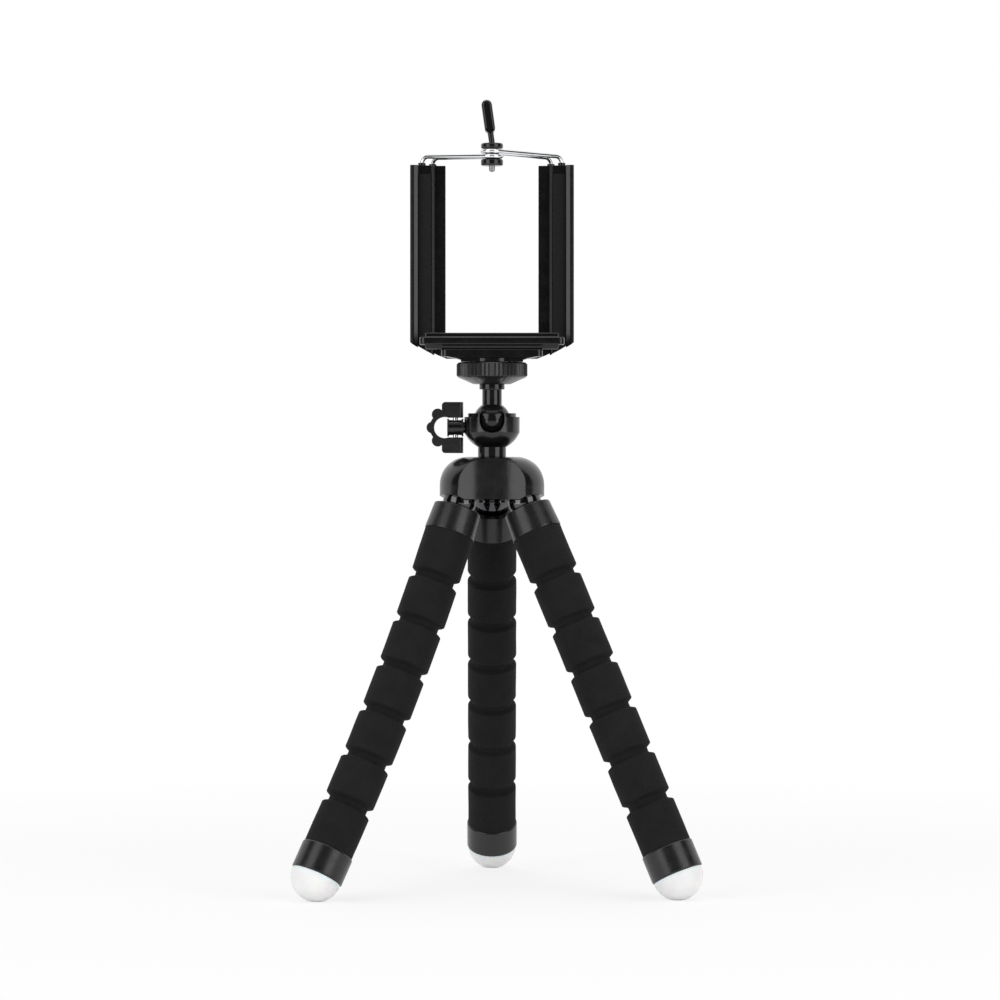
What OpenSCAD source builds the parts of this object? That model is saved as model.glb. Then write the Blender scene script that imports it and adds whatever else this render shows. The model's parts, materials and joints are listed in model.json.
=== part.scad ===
// Flexible leg tripod with a ball head and a two-jaw phone clip, in millimetres.
// The floor is z = 0, the head's axis is the Z axis and the front faces -Y.

/* [Legs] */
// Lean of a straight leg from the vertical, degrees
leg_lean = 25.4; // [22:0.2:30]
// Outward curl of the left leg at each groove, degrees
left_curl = 1.1; // [0:0.1:2]
// Heading of the left leg, turned towards the front, degrees
left_heading = 216; // [210:1:218]
// Distance from the head's axis to a leg's root ball
root_reach = 13; // [12.5:0.1:14]
// Diameter of the root ball between the hub and a leg
root_ball_d = 12; // [11.6:0.1:12.4]
// Gap from the root ball's centre to the collar's top, along the leg
collar_gap = 2.6; // [2.5:0.1:3.4]
// Length of the collar at the top of a leg
collar_len = 9.5; // [9:0.1:14]
// Diameter of the collar at its top
collar_top_d = 16.9; // [16.4:0.1:17.2]
// Diameter of the collar where the foam starts
collar_end_d = 18; // [17:0.1:18.4]
// Diameter of the foam
foam_d = 17.5; // [17:0.1:18]
// Distance from one groove of the foam to the next
groove_pitch = 17; // [16.6:0.1:20]
// Width of a groove at its bottom
groove_w = 2.8; // [2.6:0.1:3.2]
// Rounding of the foam's edges beside a groove
groove_edge = 2; // [1.6:0.1:2.2]
// Diameter of the rounded foam neck inside a groove
neck_ball_d = 14; // [13.4:0.1:14.2]
// Diameter of the bendable core wire
core_d = 4; // [3:0.1:5]
// Depth of the core wire's end in the hub, above the root ball's centre
core_anchor = 10; // [9:0.1:11]
// Gap between the core wire's end and the rubber foot's spigot
core_end_gap = 1; // [0.5:0.1:2]
// Length of the collar above the foot
foot_collar_len = 9.9; // [8:0.1:14]
// Diameter of the collar above the foot
foot_collar_d = 18.3; // [17.7:0.1:19]
// Rounding of that collar's edges
foot_collar_edge = 0.6; // [0.4:0.1:1]
// Diameter of the round rubber foot
foot_d = 17.6; // [16.6:0.1:18]
// Depth of the flat that a foot stands on
foot_flat = 0.3; // [0.1:0.05:0.6]
// Diameter of the rubber foot's spigot
spigot_d = 10; // [8:0.1:12]
// Length of the rubber foot's spigot
spigot_len = 4; // [3:0.1:5]

/* [Hub] */
// Radius of the hub over its lobes
hub_r = 18.6; // [18.2:0.1:19.2]
// Height of the hub
hub_h = 14.8; // [14:0.1:18]
// Rounding of the hub's shoulder
hub_shoulder = 10; // [8:0.1:10.4]
// Height of the hub's underside above the root balls' centres
hub_rise = 1.2; // [1.1:0.05:1.6]
// Radius of the hollow between two lobes
scallop_r = 24; // [22:0.5:26]
// Least distance from the axis to a hollow
scallop_floor = 11.4; // [11.2:0.1:12.4]
// Distance from the axis at which a lobe's underside starts to rise
lobe_rise_from = 15; // [14.6:0.1:16]
// Diameter of the screw that holds the head on the hub
head_screw_d = 4.9; // [4:0.1:5.4]
// Diameter of that screw's head
head_screw_head_d = 8.4; // [7.4:0.1:8.8]
// Height of that screw's head
head_screw_head_h = 3; // [2.4:0.1:3.4]
// Depth that the screw reaches into the socket's neck
head_screw_grip = 5; // [4:0.1:5.4]

/* [Ball head] */
// Diameter of the neck under the socket
neck_d = 9.9; // [9:0.1:11]
// Height of the neck under the socket
neck_h = 3.3; // [2.5:0.1:5]
// Diameter of the ball
ball_d = 13; // [12.6:0.1:13.4]
// Height of the ball's centre above the socket's bottom
ball_rise = 9.5; // [9.3:0.1:11]
// Radius of the socket's round underside
bowl_r = 10.6; // [10.2:0.1:11]
// Diameter of the socket at its shoulder
socket_d = 19.5; // [19:0.1:20]
// Height of the socket's shoulder above the ball's centre
shoulder_rise = 1.2; // [0.8:0.1:1.6]
// Diameter of the socket's rim
rim_d = 17; // [16:0.1:18]
// Height of the socket's rim above the ball's centre
rim_rise = 2.5; // [2:0.1:2.6]
// Width of the notch in the front of the socket
notch_w = 8.8; // [8.2:0.1:9.2]
// Diameter of the stem on the ball
stem_d = 6.9; // [6.5:0.1:7.2]
// Length of the stem, from the ball's centre to its collar
stem_len = 10.9; // [10.6:0.1:14]
// Diameter of the collar on the stem
stem_collar_d = 8.9; // [8:0.1:11]
// Height of the collar on the stem
stem_collar_h = 1.9; // [1:0.1:3]
// Diameter of the 1/4 inch camera stud
stud_d = 6.35; // [6:0.05:6.5]
// Length of the stud above the platform
stud_len = 6.5; // [5.5:0.1:8]

/* [Platform] */
// Diameter of the knurled platform
platform_d = 25; // [23:0.1:28]
// Height of the platform's knurled disc
platform_h = 5.3; // [4:0.1:8]
// Height of the cone under the disc
platform_cone_h = 2.3; // [1.5:0.1:4]
// Diameter of the cone at its bottom
platform_cone_d = 13.2; // [11.5:0.1:16]
// Number of knurls round the platform
knurl_count = 54; // [48:1:72]
// Depth of a knurl
knurl_depth = 0.45; // [0.2:0.05:0.5]
// Height of the bevels above and below the knurls
platform_bevel = 0.7; // [0.4:0.05:1]

/* [Clamp] */
// Depth of the clamp screw's axis below the ball's centre
clamp_drop = 2.5; // [2:0.1:2.8]
// Diameter of the clamp screw
clamp_screw_d = 4; // [3:0.1:4.4]
// Diameter of the clamp screw's head over its two flanges
clamp_head = 6.3; // [5.6:0.1:6.8]
// Diameter of the clamp screw's head between its flanges
clamp_waist = 5.4; // [4.8:0.1:5.5]
// Thickness of a flange on the clamp screw's head
clamp_flange = 0.6; // [0.4:0.1:1]
// Length of the clamp screw's head
clamp_head_len = 5.7; // [5:0.1:6.4]
// Diameter of the cross pin that the handle folds on
clamp_pin_d = 1.8; // [1.4:0.05:2.2]
// Reach of the cross pin above and below the screw's axis
clamp_pin_reach = 6; // [5:0.1:7]
// Thickness of the folding handle
handle_t = 4; // [3:0.1:5]
// Half of the folding handle's height
handle_half_h = 9; // [8.4:0.1:9.6]
// Radius of the hole in the folding handle
handle_hole_r = 3.7; // [3.5:0.1:4]
// Distance from the clamp screw's head to the middle of that hole
handle_back = 0.9; // [0.6:0.1:1.2]
// Width of the folding handle's rim round its hole
handle_rim = 1.6; // [1.3:0.1:2]
// Radius of a lobe on the folding handle's edge
handle_lobe_r = 2.1; // [1.8:0.1:2.4]
// Distance from the hole's middle to the middle lobe
handle_lobe_reach = 4.3; // [4:0.1:4.6]
// Distance from the hole's middle to the two outer lobes
handle_outer_reach = 5.2; // [4.8:0.1:5.4]
// Angle between two lobes, degrees
handle_lobe_step = 62; // [56:1:66]
// Distance from the hole's middle back to the handle's two arms
handle_arm_back = 1; // [0.5:0.1:1.5]
// Rounding of the arms' back corners
handle_corner = 1.2; // [0.8:0.1:1.6]

/* [Clip base] */
// Gap between the platform and the clip, which turns on it
clip_gap = 0.2; // [0.1:0.05:0.4]
// Diameter of the boss under the clip
boss_d = 21.8; // [20:0.1:24]
// Height of the boss under the clip
boss_h = 1.1; // [0.8:0.1:2]
// Width of the clip's lower shelf
low_shelf_w = 35.5; // [30:0.1:40]
// Height of the clip's lower shelf
low_shelf_h = 2.65; // [2.4:0.05:3]
// Width of the clip's upper shelf
top_shelf_w = 50.7; // [44:0.1:51]
// Height of the clip's upper shelf
top_shelf_h = 2.7; // [2:0.1:3.2]
// Height of the lower shelf above the boss's bottom
shelf_rise = 1.6; // [1.4:0.1:2]
// Height over which the slope between the boss and the lower shelf rises
shelf_slope = 1.9; // [1.8:0.1:2.4]
// Gap between the two shelves
shelf_gap = 1.5; // [1:0.1:2]
// Depth of the shelves, front to back
shelf_depth = 4.1; // [3:0.1:5]
// Rounding of the shelves' front corners
shelf_corner = 2; // [1:0.1:2.8]
// Outer diameter of the threaded sleeve that the arms turn on
sleeve_d = 9; // [8.4:0.1:9.6]
// Outer diameter of an arm's eye
eye_d = 15; // [14.2:0.1:15.6]
// Thickness of an arm's eye
eye_t = 2.1; // [1.6:0.1:2.2]
// Height of an arm
arm_h = 7.4; // [7.2:0.1:8.4]
// Width of an arm
arm_w = 8; // [6:0.1:8.4]
// Radius of the round underside of the arms and jaws
underside_r = 50; // [46:1:54]
// Depth of the round underside's lowest point below the arms' eyes
underside_dip = 4.3; // [4:0.1:4.8]
// Thickness of the cap over the arms' eyes
cap_t = 0.9; // [0.8:0.1:1.6]
// Wire diameter of the closing spring
spring_wire = 0.7; // [0.5:0.05:0.7]
// Turns of the closing spring
spring_turns = 2; // [1.5:0.5:2]

/* [Jaws] */
// Angle of the arms behind the line across the clip, closed, degrees
arm_fold = 34; // [32:1:36]
// Distance from the clip's axis to the middle of the wire's holes
hole_reach = 27.7; // [27:0.1:28.4]
// Height of a jaw's top above the clip's bottom
jaw_top = 70; // [60:0.5:80]
// Distance from the middle plane to a jaw's inner face
jaw_inner = 16.5; // [16:0.1:17]
// Width of a jaw
jaw_w = 12.5; // [12:0.1:14]
// Distance from the clip's axis back to the floor of a jaw's recess
recess_y = 10.5; // [10:0.1:10.8]
// Thickness of a jaw behind its recess
jaw_t = 10.5; // [10:0.1:12]
// Width of a jaw's outer lip
lip_w = 2.8; // [2:0.1:3]
// Depth that the inner half of the outer lip slopes back
lip_slope = 0.6; // [0.4:0.05:0.8]
// Height of the outer lip over the recess
lip_h = 3; // [2:0.1:3.2]
// Width of the inner strip that lies back from the recess
strip_w = 4; // [3.4:0.1:4.4]
// Depth of the inner strip behind the recess
strip_back = 2; // [1:0.1:2.4]
// Width of the small rib between recess and strip
rib_w = 1; // [0.8:0.1:1.2]
// Height of the small rib
rib_h = 0.8; // [0.6:0.1:1]
// Rounding of a jaw's back corners
jaw_corner = 2; // [1:0.1:3]
// Thickness of the rubber pad in the recess
pad_t = 0.7; // [0.5:0.1:1]

/* [Top wires and lock] */
// Diameter of the chrome wire
wire_d = 1.5; // [1.4:0.05:1.7]
// Radius of the wire's loop round the lock, at its middle
loop_r = 3.35; // [3.3:0.05:3.5]
// Bend radius where the wire turns down into a jaw
wire_bend = 2.5; // [2:0.1:3]
// Height of a wire above its jaw's top
wire_rise = 3.2; // [3:0.1:4]
// Gap between the wires' loops, and between a loop and the lock
loop_gap = 0.2; // [0.15:0.05:0.3]
// Depth of the wire's ends in a jaw
wire_seat = 6; // [4:0.1:10]
// Diameter of the lock nut's flange and of the washer
lock_d = 7.8; // [7.4:0.1:8.6]
// Thickness of the lock nut's flange
lock_nut_t = 2.4; // [1.8:0.1:2.6]
// Thickness of the lock washer
lock_washer_t = 2; // [1.5:0.1:3]
// Rounding of the edges of the lock's nut and washer
lock_edge = 0.7; // [0.3:0.05:0.7]
// Diameter of the lock screw
lock_screw_d = 2.1; // [1.8:0.1:2.4]
// Length of the lock screw below the nut
lock_tip = 2.1; // [1:0.1:3]
// Length of bare screw between the washer and the paddle
lock_neck = 3.4; // [2:0.1:5]
// Height of the paddle
paddle_h = 11.8; // [10:0.1:15]
// Thickness of the paddle
paddle_t = 3.7; // [3:0.1:4.4]
// Width of the paddle, front to back
paddle_w = 7; // [5:0.1:9]
// Lean of the paddle to the left, degrees
paddle_lean = 8; // [0:1:12]

/* [Hidden] */
LEGS = ["back", "left", "right"];
SEGMENTS = 7;
LEG_PIECES = concat(
  ["root_ball", "leg_collar"],
  [for (k = [1:SEGMENTS]) str("foam_", k)],
  ["core_wire", "foot_collar", "foot_tip"]
);
HEAD_NODES = ["hub", "head_screw", "head_socket", "ball_stem", "platform",
              "clamp_screw", "clamp_pin", "clamp_handle"];
CLIP_NODES = ["clip_base", "clip_cover", "clip_sleeve", "clip_spring",
              "left_arm", "right_arm", "left_jaw", "right_jaw", "left_pad", "right_pad",
              "left_wire", "right_wire",
              "lock_nut", "lock_washer", "lock_screw", "lock_paddle"];

$fn = 64;
// Clearance of round pieces that turn in one another
turn_gap = 0.05;
// Clearance between pieces that swing past one another
swing_gap = 0.3;
// Clearance of pieces that are fixed in one another
seat_gap = 0.02;
// Overshoot of cuts
over = 1;

BLACK = [0.07, 0.07, 0.075];
FOAM = [0.11, 0.11, 0.115];
RUBBER = [0.86, 0.86, 0.85];
CHROME = [0.82, 0.83, 0.85];
STEEL = [0.55, 0.56, 0.58];
BRASS = [0.72, 0.58, 0.30];

// Legs: azimuth of each lobe, heading and curl of each leg
LOBE_AT = [90, 210, 330];
HEADING = [90, left_heading, 330];
CURL = [0, left_curl, 0];

first_len = collar_gap + collar_len + groove_pitch;
last_len = groove_pitch + foot_collar_len;
function segment_len(k) = k == 1 ? first_len : k < SEGMENTS ? groove_pitch : last_len;
function sum(v, n = 0) = n < len(v) ? v[n] + sum(v, n + 1) : 0;

// All legs drop as far as a straight one, so a curled leg starts steeper
leg_drop = sum([for (k = [1:SEGMENTS]) segment_len(k)]) * cos(leg_lean);
function curl_cos(c) = sum([for (k = [1:SEGMENTS]) segment_len(k) * cos((k - 1) * c)]);
function curl_sin(c) = sum([for (k = [1:SEGMENTS]) segment_len(k) * sin((k - 1) * c)]);
function first_lean(c) =
  acos(leg_drop / norm([curl_cos(c), curl_sin(c)])) - atan2(curl_sin(c), curl_cos(c));
function lean(i, k) = first_lean(CURL[i]) + (k - 1) * CURL[i];
function reach_before(i, k) =
  k == 1 ? 0 : sum([for (j = [1:k - 1]) segment_len(j) * sin(lean(i, j))]);
function drop_before(i, k) =
  k == 1 ? 0 : sum([for (j = [1:k - 1]) segment_len(j) * cos(lean(i, j))]);

pivot_z = leg_drop + foot_d / 2 - foot_flat;
floor_half = 2 * leg_drop;
core_end = last_len - spigot_len - core_end_gap;

// Heights of the head and the clip, each from the piece below
hub_z = pivot_z + hub_rise;
neck_z = hub_z + hub_h;
bowl_z = neck_z + neck_h;
ball_z = bowl_z + ball_rise;
cavity_r = ball_d / 2 + turn_gap;
platform_z = ball_z + stem_len + stem_collar_h;
platform_top = platform_z + platform_cone_h + platform_h;
clamp_z = ball_z - clamp_drop;
clamp_tip = cavity_r;
clamp_head_x = -(socket_d / 2 + swing_gap);
clamp_pin_x = clamp_head_x - clamp_head_len / 2;
handle_mid_x = clamp_pin_x - clamp_head_len / 2 - handle_back;
handle_slot = clamp_head / 2 + swing_gap;
handle_end_r = abs(clamp_pin_x) - abs(clamp_head_x) - turn_gap;
handle_arm_len = clamp_pin_x + handle_end_r - handle_mid_x + handle_arm_back + over;

clip_z = platform_top + clip_gap;
low_shelf_z = clip_z + shelf_rise;
top_shelf_z = low_shelf_z + low_shelf_h + shelf_gap;
shelf_back = -(eye_d / 2 + swing_gap);
shelf_front = shelf_back - shelf_depth;
arm_z = clip_z + boss_h + swing_gap;
arm_top = arm_z + arm_h;
spring_room = arm_h - 2 * eye_t;
spring_r = (sleeve_d + eye_d) / 4;
core_sides = 12;
spring_rings = 8;
spring_sides = 6;
spring_pitch = (spring_room - spring_wire - 2 * turn_gap) / spring_turns;
sleeve_top = arm_top + swing_gap;

jaw_top_z = clip_z + jaw_top;
jaw_outer = jaw_inner + jaw_w;
jaw_back = recess_y + jaw_t;
pad_end_gap = 3;
ferrule_h = 1;
ferrule_wall = 0.6;
hole_r = wire_d / 2 + seat_gap;
// The left wire falls to its loop and the right one rises, so that the loops lie on one another
wire_fall = (wire_d + loop_gap) / 2;
wire_tilt = asin(wire_fall / hole_reach);
left_wire_z = jaw_top_z + wire_rise - wire_fall;
right_wire_z = jaw_top_z + wire_rise + wire_fall;
nut_top = left_wire_z - wire_d / 2 - loop_gap;
washer_z = right_wire_z + wire_d / 2 + loop_gap;
lock_sleeve_r = loop_r - wire_d / 2 - loop_gap;

// Placing

// Puts children at a leg's root ball, with the leg's heading along +X
module on_lobe(i) {
  at = LOBE_AT[i];
  translate([root_reach * cos(at), root_reach * sin(at), pivot_z])
    rotate([0, 0, HEADING[i]])
      children();
}

// Puts children in the frame of a leg's segment: its upper joint at the origin, the leg along -Z
module on_leg(i, k) {
  on_lobe(i)
    translate([reach_before(i, k), 0, -drop_before(i, k)])
      rotate([0, -lean(i, k), 0])
        children();
}

// Triangles of a closed tube with rings 0 to last, of m points each
function tube_faces(last, m, flip) = let (
  faces = concat(
    [for (s = [1:m - 2]) [0, s + 1, s]],
    [for (s = [1:m - 2]) [last * m, last * m + s, last * m + s + 1]],
    [for (n = [0:last - 1], s = [0:m - 1])
      [n * m + s, n * m + (s + 1) % m, (n + 1) * m + s]],
    [for (n = [0:last - 1], s = [0:m - 1])
      [n * m + (s + 1) % m, (n + 1) * m + (s + 1) % m, (n + 1) * m + s]]
  )
) flip ? [for (f = faces) [f[0], f[2], f[1]]] : faces;

// Left pieces are drawn as they stand and right ones are mirrored
module on_side(right) {
  if (right) mirror([1, 0, 0]) children();
  else children();
}

// Legs

// A turned body with rounded outer edges, from -top down to -bottom
module lobe(d, top, bottom, top_edge, bottom_edge) {
  r = d / 2;
  widest = max(top_edge, bottom_edge);
  rotate_extrude() {
    translate([0, -bottom]) square([r - widest, bottom - top]);
    translate([0, bottom_edge - bottom]) square([r, bottom - top - top_edge - bottom_edge]);
    if (top_edge > 0) translate([r - top_edge, -top - top_edge]) circle(top_edge);
    if (bottom_edge > 0) translate([r - bottom_edge, bottom_edge - bottom]) circle(bottom_edge);
  }
}

module core_bore(top, length, gap = turn_gap) {
  translate([0, 0, top - length]) cylinder(d = core_d + 2 * gap, h = length);
}

module root_ball(i) color(CHROME) on_leg(i, 1) difference() {
  sphere(d = root_ball_d);
  core_bore(root_ball_d, 2 * root_ball_d);
}

module leg_collar(i) color(BLACK) on_leg(i, 1) difference() {
  translate([0, 0, -collar_gap - collar_len])
    cylinder(d1 = collar_end_d, d2 = collar_top_d, h = collar_len);
  sphere(d = root_ball_d + 2 * swing_gap);
  core_bore(0, first_len);
}

module foam_segment(i, k) color(FOAM) on_leg(i, k) {
  first = k == 1;
  last = k == SEGMENTS;
  top = first ? collar_gap + collar_len : groove_w / 2;
  bottom = last ? groove_pitch : segment_len(k) - groove_w / 2;
  difference() {
    union() {
      lobe(foam_d, top, bottom, first ? 0 : groove_edge, last ? 0 : groove_edge);
      if (!last) translate([0, 0, -segment_len(k)]) sphere(d = neck_ball_d);
    }
    if (!first) sphere(d = neck_ball_d + 2 * swing_gap);
    core_bore(neck_ball_d, 2 * (segment_len(k) + neck_ball_d), swing_gap);
  }
}

// The core wire's tube: one ring of points in the hub, at each groove and in the foot's collar
function core_tilt(i, n) = (lean(i, max(n, 1)) + lean(i, min(n + 1, SEGMENTS))) / 2;
function core_mid(i, n) =
  n == 0 ? core_anchor * [-sin(lean(i, 1)), 0, cos(lean(i, 1))] :
  n < SEGMENTS ? [reach_before(i, n + 1), 0, -drop_before(i, n + 1)] :
  core_mid(i, n - 1) + core_end * [sin(lean(i, n)), 0, -cos(lean(i, n))];
function core_point(i, n, s) = let (a = core_tilt(i, n), b = 360 * s / core_sides)
  core_mid(i, n) + core_d / 2 * [cos(b) * cos(a), sin(b), cos(b) * sin(a)];

module core_wire(i) color(STEEL) on_lobe(i)
  polyhedron(
    points = [for (n = [0:SEGMENTS], s = [0:core_sides - 1]) core_point(i, n, s)],
    faces = tube_faces(SEGMENTS, core_sides, true)
  );

module foot_collar(i) color(BLACK) on_leg(i, SEGMENTS) difference() {
  lobe(foot_collar_d, groove_pitch, last_len, foot_collar_edge, foot_collar_edge);
  core_bore(0, core_end + seat_gap);
  translate([0, 0, -last_len - over])
    cylinder(d = spigot_d + 2 * seat_gap, h = spigot_len + over + seat_gap);
}

module foot_tip(i) color(RUBBER) difference() {
  on_leg(i, SEGMENTS) translate([0, 0, -last_len]) {
    difference() {
      sphere(d = foot_d);
      cylinder(d = 2 * foot_d, h = foot_d);
    }
    cylinder(d = spigot_d, h = spigot_len);
  }
  translate([-floor_half, -floor_half, -foot_d])
    cube([2 * floor_half, 2 * floor_half, foot_d]);
}

// Hub and ball head

module hub() color(BLACK) difference() {
  translate([0, 0, hub_z]) rotate_extrude() {
    square([hub_r, hub_h - hub_shoulder]);
    square([hub_r - hub_shoulder, hub_h]);
    translate([hub_r - hub_shoulder, hub_h - hub_shoulder]) intersection() {
      circle(hub_shoulder);
      square(hub_shoulder);
    }
  }
  for (i = [0:len(LEGS) - 1]) {
    rotate([0, 0, LOBE_AT[i] + 60])
      translate([scallop_floor + scallop_r, 0, hub_z - over])
        cylinder(r = scallop_r, h = hub_h + 2 * over);
    rotate([0, 0, LOBE_AT[i]])
      translate([lobe_rise_from, 0, hub_z])
        rotate([0, -leg_lean, 0])
          translate([0, -hub_r, -hub_r]) cube([hub_r, 2 * hub_r, hub_r]);
    on_leg(i, 1) {
      sphere(d = root_ball_d + 2 * seat_gap);
      cylinder(d = core_d + 2 * turn_gap, h = core_anchor + turn_gap);
    }
  }
  translate([0, 0, hub_z - over])
    cylinder(d = head_screw_d + 2 * seat_gap, h = hub_h + 2 * over);
  translate([0, 0, hub_z - over])
    cylinder(d = head_screw_head_d + 2 * swing_gap, h = head_screw_head_h + over);
}

module head_screw() color(STEEL) translate([0, 0, hub_z]) {
  difference() {
    cylinder(d = head_screw_head_d, h = head_screw_head_h);
    translate([0, 0, -over])
      cylinder(d = head_screw_head_d / 2, h = head_screw_head_h / 2 + over, $fn = 6);
  }
  cylinder(d = head_screw_d, h = hub_h + head_screw_grip);
}

module head_socket() color(BLACK) difference() {
  union() {
    translate([0, 0, neck_z]) cylinder(d = neck_d, h = neck_h + ball_rise / 2);
    intersection() {
      translate([0, 0, ball_z]) sphere(r = bowl_r);
      translate([0, 0, bowl_z]) cylinder(d = socket_d, h = ball_rise + shoulder_rise);
    }
    translate([0, 0, ball_z]) cylinder(d = rim_d, h = rim_rise);
  }
  translate([0, 0, ball_z]) {
    sphere(r = cavity_r);
    rotate([90, 0, 0]) cylinder(d = notch_w, h = socket_d);
    translate([-notch_w / 2, -socket_d, 0]) cube([notch_w, socket_d, rim_rise + over]);
  }
  translate([0, 0, clamp_z])
    rotate([0, -90, 0]) cylinder(d = clamp_screw_d + 2 * turn_gap, h = socket_d);
  translate([0, 0, neck_z - over])
    cylinder(d = head_screw_d + 2 * seat_gap, h = head_screw_grip + over + seat_gap);
}

module ball_stem() color(STEEL) translate([0, 0, ball_z]) {
  sphere(d = ball_d);
  cylinder(d = stem_d, h = stem_len);
  translate([0, 0, stem_len]) cylinder(d = stem_collar_d, h = stem_collar_h);
  cylinder(d = stud_d, h = platform_top - ball_z + stud_len);
}

// A round outline cut by small grooves
module knurled_outline() {
  step = 180 / knurl_count;
  r = platform_d / 2;
  polygon([for (n = [0:2 * knurl_count - 1])
    (n % 2 == 0 ? r : r - knurl_depth) * [cos(n * step), sin(n * step)]]);
}

module platform() color(BLACK) translate([0, 0, platform_z]) difference() {
  outer = platform_d / 2 + knurl_depth;
  inner = platform_d / 2 - platform_bevel;
  rise = outer - inner;
  top = platform_cone_h + platform_h;
  intersection() {
    linear_extrude(top) knurled_outline();
    rotate_extrude() polygon([
      [0, 0],
      [platform_cone_d / 2, 0],
      [inner, platform_cone_h],
      [outer, platform_cone_h + rise],
      [outer, top - rise],
      [inner, top],
      [0, top]
    ]);
  }
  translate([0, 0, -over]) cylinder(d = stud_d + 2 * seat_gap, h = top + 2 * over);
}

// Clamp screw with its folding handle

module clamp_screw() color(BLACK) difference() {
  union() {
    translate([-clamp_tip, 0, clamp_z])
      rotate([0, -90, 0]) cylinder(d = clamp_screw_d, h = over - clamp_head_x - clamp_tip);
    translate([clamp_head_x, 0, clamp_z]) rotate([0, -90, 0]) {
      cylinder(d = clamp_waist, h = clamp_head_len);
      for (x = [0, clamp_head_len - clamp_flange])
        translate([0, 0, x]) cylinder(d = clamp_head, h = clamp_flange);
    }
  }
  translate([clamp_pin_x, 0, clamp_z - clamp_head])
    cylinder(d = clamp_pin_d + 2 * seat_gap, h = 2 * clamp_head);
}

module clamp_pin() color(CHROME)
  translate([clamp_pin_x, 0, clamp_z - clamp_pin_reach])
    cylinder(d = clamp_pin_d, h = 2 * clamp_pin_reach);

// The handle's outline about its hole: a rim with lobes, and an arm above and below the screw's head
module handle_outline() {
  circle(handle_hole_r + handle_rim);
  for (n = [-1:1])
    rotate(180 + n * handle_lobe_step)
      translate([n == 0 ? handle_lobe_reach : handle_outer_reach, 0]) circle(handle_lobe_r);
  for (up = [0, 1]) mirror([0, up]) {
    translate([handle_corner - handle_arm_back, 0])
      square([handle_arm_len - handle_corner, handle_half_h]);
    translate([-handle_arm_back, 0]) square([handle_arm_len, handle_half_h - handle_corner]);
    translate([handle_corner - handle_arm_back, handle_half_h - handle_corner]) circle(handle_corner);
  }
}

module clamp_handle() color(BLACK) difference() {
  intersection() {
    translate([0, handle_t / 2, clamp_z]) rotate([90, 0, 0]) linear_extrude(handle_t)
      translate([handle_mid_x, 0]) difference() {
        handle_outline();
        circle(handle_hole_r);
        translate([0, -handle_slot]) square([2 * handle_arm_len, 2 * handle_slot]);
      }
    // The arms' ends are round about the pin, so that they pass the socket
    union() {
      translate([clamp_pin_x, 0, clamp_z - 2 * handle_half_h])
        cylinder(r = handle_end_r, h = 4 * handle_half_h);
      translate([clamp_pin_x - 2 * handle_arm_len, -handle_t, clamp_z - 2 * handle_half_h])
        cube([2 * handle_arm_len, 2 * handle_t, 4 * handle_half_h]);
    }
  }
  translate([clamp_pin_x, 0, clamp_z - clamp_pin_reach - turn_gap])
    cylinder(d = clamp_pin_d + 2 * turn_gap, h = 2 * (clamp_pin_reach + turn_gap));
}

// Clip base

// A flat bar with rounded front corners, its front at y = 0
module shelf(w, h) {
  translate([-w / 2, shelf_corner, 0]) cube([w, shelf_depth - shelf_corner, h]);
  translate([shelf_corner - w / 2, 0, 0]) cube([w - 2 * shelf_corner, shelf_depth, h]);
  for (x = [shelf_corner - w / 2, w / 2 - shelf_corner])
    translate([x, shelf_corner, 0]) cylinder(r = shelf_corner, h = h);
}

module clip_base() color(BLACK) difference() {
  union() {
    translate([0, 0, clip_z]) cylinder(d = boss_d, h = boss_h);
    translate([-boss_d / 2, shelf_front + shelf_corner, clip_z])
      cube([boss_d, -shelf_front - shelf_corner, boss_h]);
    translate([0, shelf_front, low_shelf_z]) shelf(low_shelf_w, low_shelf_h);
    // The shelf's underside slopes from the boss to the shelf's ends
    intersection() {
      translate([0, 0, clip_z]) cylinder(d1 = boss_d, d2 = low_shelf_w + 2 * shelf_slope, h = shelf_slope);
      translate([-low_shelf_w / 2, shelf_front + shelf_corner, clip_z])
        cube([low_shelf_w, shelf_depth - shelf_corner, shelf_slope]);
    }
  }
  translate([0, 0, clip_z - over])
    cylinder(d = sleeve_d + 2 * seat_gap, h = boss_h + 2 * over);
}

module clip_cover() color(BLACK) {
  web_w = top_shelf_w - 2 * shelf_corner;
  translate([0, shelf_front, top_shelf_z]) shelf(top_shelf_w, top_shelf_h);
  translate([-web_w / 2, shelf_back - shelf_depth / 2, low_shelf_z + low_shelf_h])
    cube([web_w, shelf_depth / 2, sleeve_top + cap_t - low_shelf_z - low_shelf_h]);
  translate([-eye_d / 2, shelf_back - shelf_depth / 2, sleeve_top])
    cube([eye_d, -shelf_back + shelf_depth / 2, cap_t]);
  translate([0, 0, sleeve_top]) cylinder(d = eye_d, h = cap_t);
}

module clip_sleeve() color(BRASS) translate([0, 0, clip_z]) difference() {
  cylinder(d = sleeve_d, h = sleeve_top - clip_z);
  translate([0, 0, -over])
    cylinder(d = stud_d + 2 * turn_gap, h = stud_len + 2 * over);
}

// The spring's tube: rings of points along a helix
function spring_mid(n) = let (a = 360 * n / spring_rings)
  [spring_r * cos(a), spring_r * sin(a), spring_pitch * n / spring_rings];
function spring_point(n, s) = let (a = 360 * n / spring_rings, b = 360 * s / spring_sides)
  spring_mid(n) + spring_wire / 2 * [cos(b) * cos(a), cos(b) * sin(a), sin(b)];
spring_last = spring_turns * spring_rings;
spring_gap = min([for (n = [0:spring_last - spring_rings])
  norm(spring_mid(n + spring_rings) - spring_mid(n))]) - spring_wire;
echo(spring_least_gap = spring_gap);

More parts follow.
